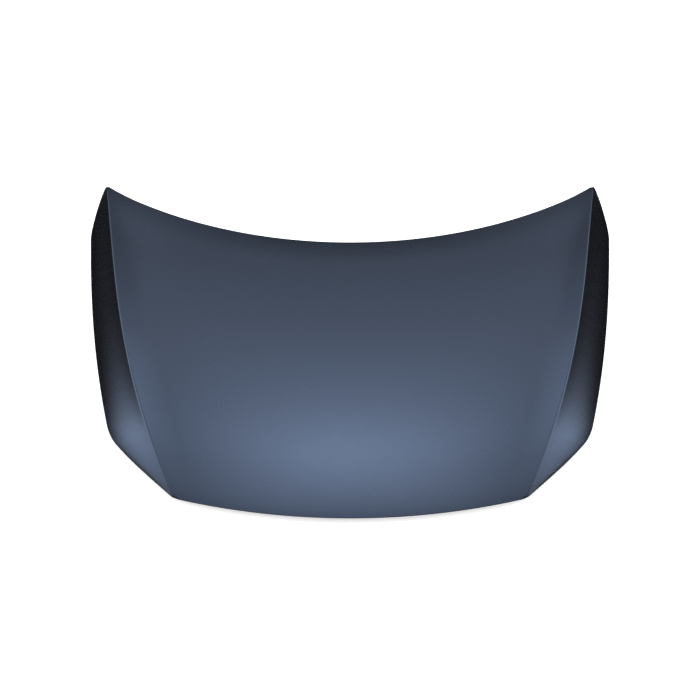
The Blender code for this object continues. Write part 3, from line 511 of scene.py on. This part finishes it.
def roundTips(bm, tips, turns):
    for tip in tips:
        near = [vert for vert in bm.verts if (vert.co - tip.co).length < skinFold["tipReach"]]
        for _ in range(turns):
            bmesh.ops.smooth_vert(bm, verts=near, factor=0.5, use_axis_x=True, use_axis_y=True, use_axis_z=True)


def openSheet(mesh, merge, sliver):
    # a mesh without doubles and slivers, skin side up, as a bmesh
    bm = bmesh.new()
    bm.from_mesh(mesh)
    bmesh.ops.remove_doubles(bm, verts=bm.verts, dist=merge)
    bmesh.ops.dissolve_degenerate(bm, edges=bm.edges, dist=sliver)
    bmesh.ops.recalc_face_normals(bm, faces=bm.faces)
    if sum(face.normal.z * face.calc_area() for face in bm.faces) < 0:
        bmesh.ops.reverse_faces(bm, faces=bm.faces)
    return bm


def smoothInto(bm, mesh):
    for face in bm.faces:
        face.smooth = True
    bm.to_mesh(mesh)
    bm.free()


def evenShading(piece):
    even = piece.modifiers.new("Even shading", "WEIGHTED_NORMAL")
    even.keep_sharp = True


def makeSkin():
    mesh = growMesh("bonnetSkin", skinTree(), skinSizes)
    bm = openSheet(mesh, skinFold["merge"], skinFold["sliver"])
    tips = tipsOf(bm)
    roundTips(bm, tips, skinFold["tipTurns"])
    weight, line = foldHem(bm, skinFold, tips)
    bm.normal_update()
    softenCrease(bm, weight, tips)
    smoothInto(bm, mesh)
    skin = objectFrom("bonnetSkin", mesh)
    bevel = skin.modifiers.new("Folds", "BEVEL")
    bevel.limit_method = "WEIGHT"
    bevel.width = skinFold["creaseRadius"]
    bevel.segments = skinFold["segments"]
    bevel.use_clamp_overlap = False
    solid = skin.modifiers.new("Sheet", "SOLIDIFY")
    solid.thickness = skinFold["sheet"]
    solid.offset = -1.0
    solid.use_even_offset = True
    evenShading(skin)
    settle(skin)
    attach(skin, "root")
    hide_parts("outer_skin")
    print("skin", len(skin.data.polygons), "faces")
    return skin, objectFrom("hemLine", line)


beadSizes = {"Path": None, "Width": 0.0030, "Height": 0.0011, "Lift": 0.0008, "Spacing": 0.004, "Ripple": 0.32,
             "Ripple scale": 95.0, "Lowest": 0.0004, "Sides": 10, "Material": hemSealer}
skin, beadSizes["Path"] = makeSkin()

# inner frame: the skin's own surface sunk by a depth that follows channels, lands, ribs and seats
frameSizes = {**panelSizes, "Channel depth": 0.028, "Land depth": 0.004, "Rib depth": 0.019, "Rib half floor": 0.013,
              "Rib wall": 0.012, "Columns": 121, "Rows": 171, "Flank columns": 25, "Material": innerCoat}
framePress = {
    "flangeDepth": 0.0011, "flangeWidth": 0.0135, "wall": 0.011, "channelWidth": 0.055, "inset": 0.0022,
    "sideLand": 0.875, "sideFloor": 0.90, "sideMiddle": 0.9375, "fullFlank": 0.055, "sheet": 0.0007,
    "ribs": (((0.0863, 0.1114), (0.5554, 0.8441)), ((0.0, 0.4741), (0.5719, 0.4741)), ((0.0, 0.4741), (0.0, 0.7428))),
    "seats": (((0.0, 0.070), (0.130, 0.052), 0.03844), ((0.5998, 0.8716), (0.058, 0.074), 0.10103)),
    "edgeBlend": (0.985, 1.0), "ribFade": (0.96, 0.985), "ribStart": 0.004, "mostReach": 1.3, "footShare": 0.62,
    "headShare": 0.80, "insetShare": 0.6, "flankFall": 0.58, "leanRate": 2.2, "tipTurns": 4, "merge": 0.0003,
    "sliver": 0.0001, "seatWall": 0.014, "openingRadius": 0.024, "holeRadius": 0.0048,
    "holes": ((0.046, -0.43616), (0.5998, 0.34549), (0.5998, 0.38549)),
}
openings = {
    "middleFront": ((-0.0703, -0.3363), (0.0703, -0.3363), (0.2363, -0.0770), (-0.2363, -0.0770)),
    "middleRear": ((0.0450, 0.0130), (0.2939, 0.0130), (0.4540, 0.2630), (0.3176, 0.2165), (0.1813, 0.1874),
                   (0.0450, 0.1744)),
    "sideFront": ((0.1433, -0.3891), (0.4246, -0.3375), (0.4961, -0.0770), (0.3431, -0.0770)),
    "sideRear": ((0.4007, 0.0130), (0.5133, 0.0130), (0.5456, 0.2299), (0.5396, 0.2299)),
}


def topNormal(net, size, u, v, step=0.005):
    here = topPoint(net, size, u, v)
    across = here - topPoint(net, size, u - step, v)
    along = topPoint(net, size, u, v + step) - topPoint(net, size, u, v - step)
    return here, net.maths("NORMALIZE", net.maths("CROSS_PRODUCT", across, along))


def creaseDirection(net, size, flank, v):
    # halfway between the top's and the flank's directions, a little longer so that both depths are kept
    _, onTop = topNormal(net, size, 1.0, v)
    middle = net.maths("NORMALIZE", onTop + flank[2])
    reach = net.maths("MINIMUM", 1.0 / net.maths("DOT_PRODUCT", middle, onTop), framePress["mostReach"])
    return middle * reach


def ribDrop(net, given, place, start, end):
    # how far a straight rib presses the land down at a place in plan
    run = Vector(end) - Vector(start)
    along = run.normalized()
    x, y, _ = net.axes(place)
    ahead = (x - start[0]) * along.x + (y - start[1]) * along.y
    beside = net.maths("ABSOLUTE", (y - start[1]) * along.x - (x - start[0]) * along.y)
    past = net.maths("MAXIMUM", -ahead, ahead - run.length)
    spread = net.maths("MAXIMUM", beside - given["Rib half floor"], past)
    return given["Rib depth"] * (1.0 - net.smooth(spread, 0.0, given["Rib wall"]))


def seated(net, place, centre, size, height):    # a flat seat pressed into the sheet round a centre
    x, y, z = net.axes(place)
    aside = net.maths("ABSOLUTE", x - centre[0]) - size[0] / 2
    beyond = net.maths("ABSOLUTE", y - centre[1]) - size[1] / 2
    outside = net.maths("MAXIMUM", net.maths("MAXIMUM", aside, beyond), 0.0)
    return net.vector(x, y, net.blend(height, z, net.smooth(outside, 0.0, framePress["seatWall"])))


def frameTop(net, size, given, u, v):
    press = framePress
    place, way = topNormal(net, size, u, v)
    flank = flankFrame(net, size, v)
    lean = net.clamp((u - press["sideFloor"]) / (1.0 - press["sideFloor"]))
    way = net.blend(way, creaseDirection(net, size, flank, v), lean)
    reach = net.maths("MINIMUM", v, 1.0 - v) * size["Centre length"]
    rise = given["Channel depth"] - given["Land depth"]
    wallEnd = press["flangeWidth"] + press["wall"]
    floorEnd = wallEnd + press["channelWidth"]
    core = given["Channel depth"] - rise * net.smooth(reach, floorEnd, floorEnd + press["wall"])
    limit = net.blend(press["flangeDepth"], given["Channel depth"], net.clamp(flank[3] / press["fullFlank"]))
    side = given["Land depth"] + rise * net.smooth(u, press["sideLand"], press["sideFloor"])
    outer = net.clamp((u - press["sideMiddle"]) / (1.0 - press["sideMiddle"]))
    side = side + (limit - given["Channel depth"]) * outer
    core = net.maths("MAXIMUM", core, side)
    core = net.blend(core, limit, net.smooth(u, *press["edgeBlend"]))
    depth = net.blend(press["flangeDepth"], core, net.smooth(reach, press["flangeWidth"], wallEnd))
    drop = None
    for start, end in press["ribs"]:
        rib = ribDrop(net, given, place, start, end)
        drop = rib if drop is None else net.maths("MAXIMUM", drop, rib)
    ribbed = (given["Land depth"] + drop) * net.smooth(reach, wallEnd, wallEnd + press["ribStart"])
    ribbed = ribbed * (1.0 - net.smooth(u, *press["ribFade"]))
    place = place - way * net.maths("MAXIMUM", depth, ribbed)
    for centre, extent, height in press["seats"]:
        place = seated(net, place, centre, extent, height)
    return place


def frameFlank(net, size, given, s, t, least=0.0001):
    press = framePress
    flank = flankFrame(net, size, t)
    width = flank[3]
    foot = net.maths("MINIMUM", width * press["footShare"], press["flangeWidth"])
    head = net.maths("MINIMUM", width * press["headShare"], press["flangeWidth"] + press["wall"])
    trim = net.maths("MINIMUM", press["inset"] / net.maths("MAXIMUM", width, least), press["insetShare"])
    s = s * (1.0 - trim)
    limit = net.blend(press["flangeDepth"], given["Channel depth"], net.clamp(width / press["fullFlank"]))
    room = (1.0 - s) * width
    fall = 1.0 - net.clamp(s * width / net.maths("MAXIMUM", width - head, least)) * press["flankFall"]
    wall = net.clamp((room - foot) / net.maths("MAXIMUM", head - foot, least))
    wall = wall * wall * (3.0 - wall * 2.0)
    depth = press["flangeDepth"] + (limit - press["flangeDepth"]) * fall * wall
    lean = 1.0 - net.clamp(s * press["leanRate"])
    way = net.blend(flank[2], creaseDirection(net, size, flank, t), lean)
    return flankPoint(size, flank, s) - way * depth


def frameTree():
    net, given = newTree("pressedFrame", frameSizes)
    size = {label: given[label] for label in panelInputs}
    x, y, _ = net.axes(net.node("GeometryNodeInputPosition"))
    trim = framePress["inset"] / panel["length"]
    share = (y + 0.5) * (1.0 - 2 * trim) + trim
    back = net.vector(0.0, -halfLength, restHeight)
    top = net.node("GeometryNodeMeshGrid", {}, {0: 1.0, 1: 1.0, 2: given["Columns"], 3: given["Rows"]})
    top = net.node("GeometryNodeSetPosition", {}, {"Geometry": top,
                                                   "Position": frameTop(net, size, given, x + 0.5, share) + back})
    side = net.node("GeometryNodeMeshGrid", {}, {0: 1.0, 1: 1.0, 2: given["Flank columns"], 3: given["Rows"]})
    side = net.node("GeometryNodeSetPosition", {}, {"Geometry": side,
                                                    "Position": frameFlank(net, size, given, x + 0.5, share) + back})
    half = joined(net, (top, side))
    finishTree(net, joined(net, (half, mirrored(net, half))), given["Material"])
    return net


def roundedOutline(points, radius, steps=8):
    made = []
    for index, point in enumerate(points):
        corner = Vector((*point, 0.0))
        before = Vector((*points[index - 1], 0.0)) - corner
        after = Vector((*points[(index + 1) % len(points)], 0.0)) - corner
        reach = min(radius / math.tan(before.angle(after) / 2), before.length / 2.5, after.length / 2.5)
        near = corner + before.normalized() * reach
        far = corner + after.normalized() * reach
        made += interpolate_bezier(near, near.lerp(corner, 0.55), far.lerp(corner, 0.55), far, steps)
    return made


def prism(bm, outline, low=-0.05, high=0.25):    # an upright block through the whole bonnet
    face = bm.faces.new([bm.verts.new((point.x, point.y, low)) for point in outline])
    lifted = bmesh.ops.extrude_face_region(bm, geom=[face])["geom"]
    bmesh.ops.translate(bm, verts=[item for item in lifted if isinstance(item, bmesh.types.BMVert)],
                        vec=(0.0, 0.0, high - low))


def frameCutter():
    bm = bmesh.new()
    for name, outline in openings.items():
        for turn in (1,) if name == "middleFront" else (1, -1):
            points = [(x * turn, y) for x, y in outline]
            prism(bm, roundedOutline(points if turn > 0 else points[::-1], framePress["openingRadius"]))
    for x, y in framePress["holes"]:
        for turn in (1, -1):
            ring = [Vector((x * turn + framePress["holeRadius"] * math.cos(step * math.pi / 16),
                            y + framePress["holeRadius"] * math.sin(step * math.pi / 16), 0.0))
                    for step in range(32)]
            prism(bm, ring)
    bmesh.ops.recalc_face_normals(bm, faces=bm.faces)
    for face in bm.faces:
        face.material_index = 1
    tool = bpy.data.meshes.new("frameCut")
    bm.to_mesh(tool)
    bm.free()
    tool.materials.append(innerCoat)
    tool.materials.append(plateCoat)
    return objectFrom("frameCut", tool)


def makeFrame():
    mesh = growMesh("bonnetFrame", frameTree(), frameSizes)
    bm = openSheet(mesh, framePress["merge"], framePress["sliver"])
    roundTips(bm, tipsOf(bm), framePress["tipTurns"])
    smoothInto(bm, mesh)
    panelFrame = objectFrom("bonnetFrame", mesh)
    cutter = frameCutter()
    mesh.materials.append(cutter.data.materials[1])
    cut = panelFrame.modifiers.new("Openings", "BOOLEAN")
    cut.operation = "DIFFERENCE"
    cut.solver = "EXACT"
    cut.object = cutter
    settle(panelFrame)
    bpy.data.objects.remove(cutter)
    bm = bmesh.new()
    bm.from_mesh(panelFrame.data)
    # the cut leaves the cutter's own walls inside the open sheet, and they carry its second material
    bmesh.ops.delete(bm, geom=[face for face in bm.faces if face.material_index], context="FACES")
    bm.to_mesh(panelFrame.data)
    bm.free()
    panelFrame.data.materials.pop(index=1)
    solid = panelFrame.modifiers.new("Sheet", "SOLIDIFY")
    solid.thickness = framePress["sheet"]
    solid.offset = -1.0
    evenShading(panelFrame)
    settle(panelFrame)
    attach(panelFrame, "root")
    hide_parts("inner_frame")
    print("frame", len(panelFrame.data.polygons), "faces")
    return panelFrame


panelFrame = makeFrame()


# mastic dabs between the frame's lands and the skin
dabSizes = {"Places": None, "Least radius": 0.0070, "Most radius": 0.0085, "Flat share": 0.62, "Lump": 0.0011,
            "Lump scale": 170.0, "Seed": 5, "Segments": 28, "Rings": 14, "Material": greyMastic}
dabBite = 0.0003    # how far a dab sinks into each sheet


def dabPlaces():
    # one point for each pad of the CAD, with the way from frame to skin and half the gap
    places, facing, reach = [], [], []
    for name in sorted(nodes):
        if name.startswith("mastic_pad"):
            low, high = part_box(name)
            middle = (low + high) / 2
            onFrame = panelFrame.closest_point_on_mesh(middle)[1]
            onSkin = skin.closest_point_on_mesh(onFrame)[1]
            places.append((onSkin + onFrame) / 2)
            facing.append((onSkin - onFrame).normalized())
            reach.append((onSkin - onFrame).length / 2 + dabBite)
    mesh = bpy.data.meshes.new("dabPlaces")
    mesh.from_pydata(places, [], [])
    ways = mesh.attributes.new("facing", "FLOAT_VECTOR", "POINT")
    ways.data.foreach_set("vector", [part for way in facing for part in way])
    gaps = mesh.attributes.new("reach", "FLOAT", "POINT")
    gaps.data.foreach_set("value", reach)
    return objectFrom("dabPlaces", mesh)


def attribute(net, name, kind):
    return net.node("GeometryNodeInputNamedAttribute", {"data_type": kind}, {"Name": name})


def dabTree():
    net, given = newTree("masticDabs", dabSizes)
    ball = net.node("GeometryNodeMeshUVSphere", {}, {0: given["Segments"], 1: given["Rings"], 2: 1.0})
    x, y, z = net.axes(net.node("GeometryNodeInputPosition"))
    flat = given["Flat share"]
    squashed = net.maths("MAXIMUM", net.maths("MINIMUM", z, flat), -flat) / flat
    ball = net.node("GeometryNodeSetPosition", {}, {"Geometry": ball, "Position": net.vector(x, y, squashed)})
    points = net.node("GeometryNodeObjectInfo", {}, {0: given["Places"]}).part("Geometry")
    turn = net.node("FunctionNodeAlignRotationToVector", {"axis": "Z"},
                    {"Vector": attribute(net, "facing", "FLOAT_VECTOR")})
    spin = net.node("FunctionNodeRandomValue", {"data_type": "FLOAT"}, {2: 0.0, 3: 6.28, 8: given["Seed"]}, out=1)
    spin = net.node("FunctionNodeAxisAngleToRotation", {}, {"Axis": (0.0, 0.0, 1.0), "Angle": spin})
    turn = net.node("FunctionNodeRotateRotation", {"rotation_space": "LOCAL"}, {0: turn, 1: spin})
    wide = [net.node("FunctionNodeRandomValue", {"data_type": "FLOAT"},
                     {2: given["Least radius"], 3: given["Most radius"], 8: given["Seed"] + shift}, out=1)
            for shift in (1, 2)]
    size = net.vector(wide[0], wide[1], attribute(net, "reach", "FLOAT"))
    dabs = net.node("GeometryNodeInstanceOnPoints", {}, {"Points": points, "Instance": ball, "Rotation": turn,
                                                         "Scale": size})
    dabs = net.node("GeometryNodeRealizeInstances", {}, {0: dabs})
    lumps = noise(net, net.node("GeometryNodeInputPosition"), given["Lump scale"], 3.0) - 0.5
    push = net.node("GeometryNodeInputNormal") * lumps * given["Lump"]
    dabs = net.node("GeometryNodeSetPosition", {}, {"Geometry": dabs, "Offset": push})
    finishTree(net, net.node("GeometryNodeSetShadeSmooth", {}, {0: dabs}), given["Material"])
    return net


def makeDabs():
    dabSizes["Places"] = dabPlaces()
    dabs = objectFrom("masticDabs", growMesh("masticDabs", dabTree(), dabSizes))
    bpy.data.objects.remove(dabSizes["Places"])
    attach(dabs, "root")
    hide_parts(*[name for name in nodes if name.startswith("mastic_pad")])
    print("dabs", len(dabs.data.polygons), "faces")


makeDabs()


# sealer along the hem's folded lip
def beadTree():
    net, given = newTree("hemBead", beadSizes)
    path = net.node("GeometryNodeObjectInfo", {}, {0: given["Path"]}).part("Geometry")
    path = net.node("GeometryNodeMeshToCurve", {}, {0: path})
    path = net.node("GeometryNodeResampleCurve", {"mode": "LENGTH"}, {"Curve": path, "Length": given["Spacing"]})
    ring = net.node("GeometryNodeCurvePrimitiveCircle", {"mode": "RADIUS"},
                    {"Resolution": given["Sides"], "Radius": 0.5})
    ripple = noise(net, net.node("GeometryNodeInputPosition"), given["Ripple scale"], 2.0) - 0.5
    thick = 1.0 + ripple * given["Ripple"] * 2.0
    bead = net.node("GeometryNodeCurveToMesh", {},
                    {"Curve": path, "Profile Curve": ring, "Scale": thick * given["Width"]})
    place = net.node("GeometryNodeInputPosition")
    x, y, z = net.axes(place)
    bead = net.node("GeometryNodeSetPosition", {}, {"Geometry": bead, "Position": net.vector(
        x, y, net.maths("MAXIMUM", z, given["Lowest"]))})
    finishTree(net, net.node("GeometryNodeSetShadeSmooth", {}, {0: bead}), given["Material"])
    return net


def makeBead():
    bead = objectFrom("hemBead", growMesh("hemBead", beadTree(), beadSizes))
    bpy.data.objects.remove(beadSizes["Path"])
    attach(bead, "root")
    print("bead", len(bead.data.polygons), "faces")


makeBead()


# carried nodes keep their CAD shape and get a finish each
finishes = {"hinge_reinforcement": plateCoat, "latch_reinforcement": plateCoat,
            "striker_plate": strikerSteel, "striker_loop": strikerSteel, "striker_bolt": zincSteel,
            "striker_nut": zincSteel, "hinge_nut": zincSteel}
for name, node in nodes.items():
    for start, finish in finishes.items():
        if name.startswith(start):
            for slot in node.material_slots:
                slot.material = finish
print("carried nodes finished")


# studio
studio = {"floor": 0.90, "floorGlow": 0.55, "seen": (0.93, 0.94, 0.95, 1), "focal": 1962.3, "pixels": 700.0,
          "sensor": 36.0, "climb": 55.0, "distance": 5.2, "aim": (0.0, 0.4882, 0.08)}
# soft lamps on the studio's dome: direction east and north, tightness, strength; those off the middle are doubled
studioLamps = (
    (0.00, -0.27, 38.0, 0.72), (0.00, -0.10, 38.0, 2.80), (0.00, 0.07, 38.0, 1.42), (0.00, 0.24, 38.0, 1.12),
    (0.00, 0.41, 38.0, 0.16), (0.20, -0.44, 38.0, 1.90), (0.20, -0.10, 38.0, 0.36), (0.20, 0.07, 38.0, 0.24),
    (0.20, 0.41, 38.0, 0.72), (0.20, 0.56, 38.0, 0.50), (0.38, 0.70, 38.0, 0.36), (0.60, 0.05, 20.0, 0.24),
    (0.60, 0.40, 20.0, 0.80), (0.82, -0.10, 20.0, 3.60), (0.82, 0.22, 20.0, 0.62), (0.80, 0.45, 20.0, 2.00),
    (0.95, -0.28, 30.0, 1.80),
)


def studioWorld():
    world = bpy.data.worlds.new("studio")
    bpy.context.scene.world = world
    world.use_nodes = True
    net = Net(world.node_tree)
    way = net.maths("NORMALIZE", net.node("ShaderNodeTexCoord").part("Generated"))
    light = None
    for east, north, tight, strength in studioLamps:
        up = math.sqrt(1.0 - east * east - north * north)
        for side in ((1,) if east == 0.0 else (1, -1)):
            near = net.maths("DOT_PRODUCT", way, (east * side, north, up))
            glow = net.fading((near - 1.0) * tight) * strength
            light = glow if light is None else light + glow
    lamp = net.node("ShaderNodeBackground", {}, {"Color": (1, 1, 1, 1), "Strength": light})
    seen = net.node("ShaderNodeBackground", {}, {"Color": studio["seen"], "Strength": 1.0})
    ray = net.node("ShaderNodeLightPath")
    both = net.node("ShaderNodeMixShader", {}, {0: ray.part("Is Camera Ray"), 1: lamp, 2: seen})
    net.node("ShaderNodeOutputWorld", {}, {0: both})


def studioFloor():
    bm = bmesh.new()
    bmesh.ops.create_grid(bm, x_segments=4, y_segments=4, size=30.0)
    mesh = bpy.data.meshes.new("studioFloor")
    bm.to_mesh(mesh)
    bm.free()
    floor = objectFrom("studioFloor", mesh)
    made, net, place = newMaterial("palePaper")
    fibre = noise(net, place, 60.0, 3.0)
    tone = studio["floor"]
    shade(net, {"Base Color": net.colour((tone, tone, tone, 1), (tone * 1.03, tone * 1.03, tone * 1.035, 1), fibre),
                "Roughness": 0.95, "Specular IOR Level": 0.1, "Emission Color": (1, 1, 1, 1),
                "Emission Strength": studio["floorGlow"]})
    floor.data.materials.append(made)
    floor.visible_glossy = False


def studioCamera():
    data = bpy.data.cameras.new("studioCamera")
    data.sensor_width = studio["sensor"]
    data.lens = studio["focal"] * studio["sensor"] / studio["pixels"]
    data.clip_end = 100.0
    camera = bpy.data.objects.new("studioCamera", data)
    bpy.context.scene.collection.objects.link(camera)
    target = Vector(studio["aim"]) - Vector((0.0, halfLength, 0.0))
    climb = math.radians(studio["climb"])
    camera.location = target + Vector((0.0, -math.cos(climb), math.sin(climb))) * studio["distance"]
    camera.rotation_euler = (math.radians(90.0 - studio["climb"]), 0.0, 0.0)
    bpy.context.scene.camera = camera


studioWorld()
studioFloor()
studioCamera()
bpy.context.scene.view_settings.view_transform = "Standard"
bpy.context.scene.view_settings.look = "None"
print("studio set")
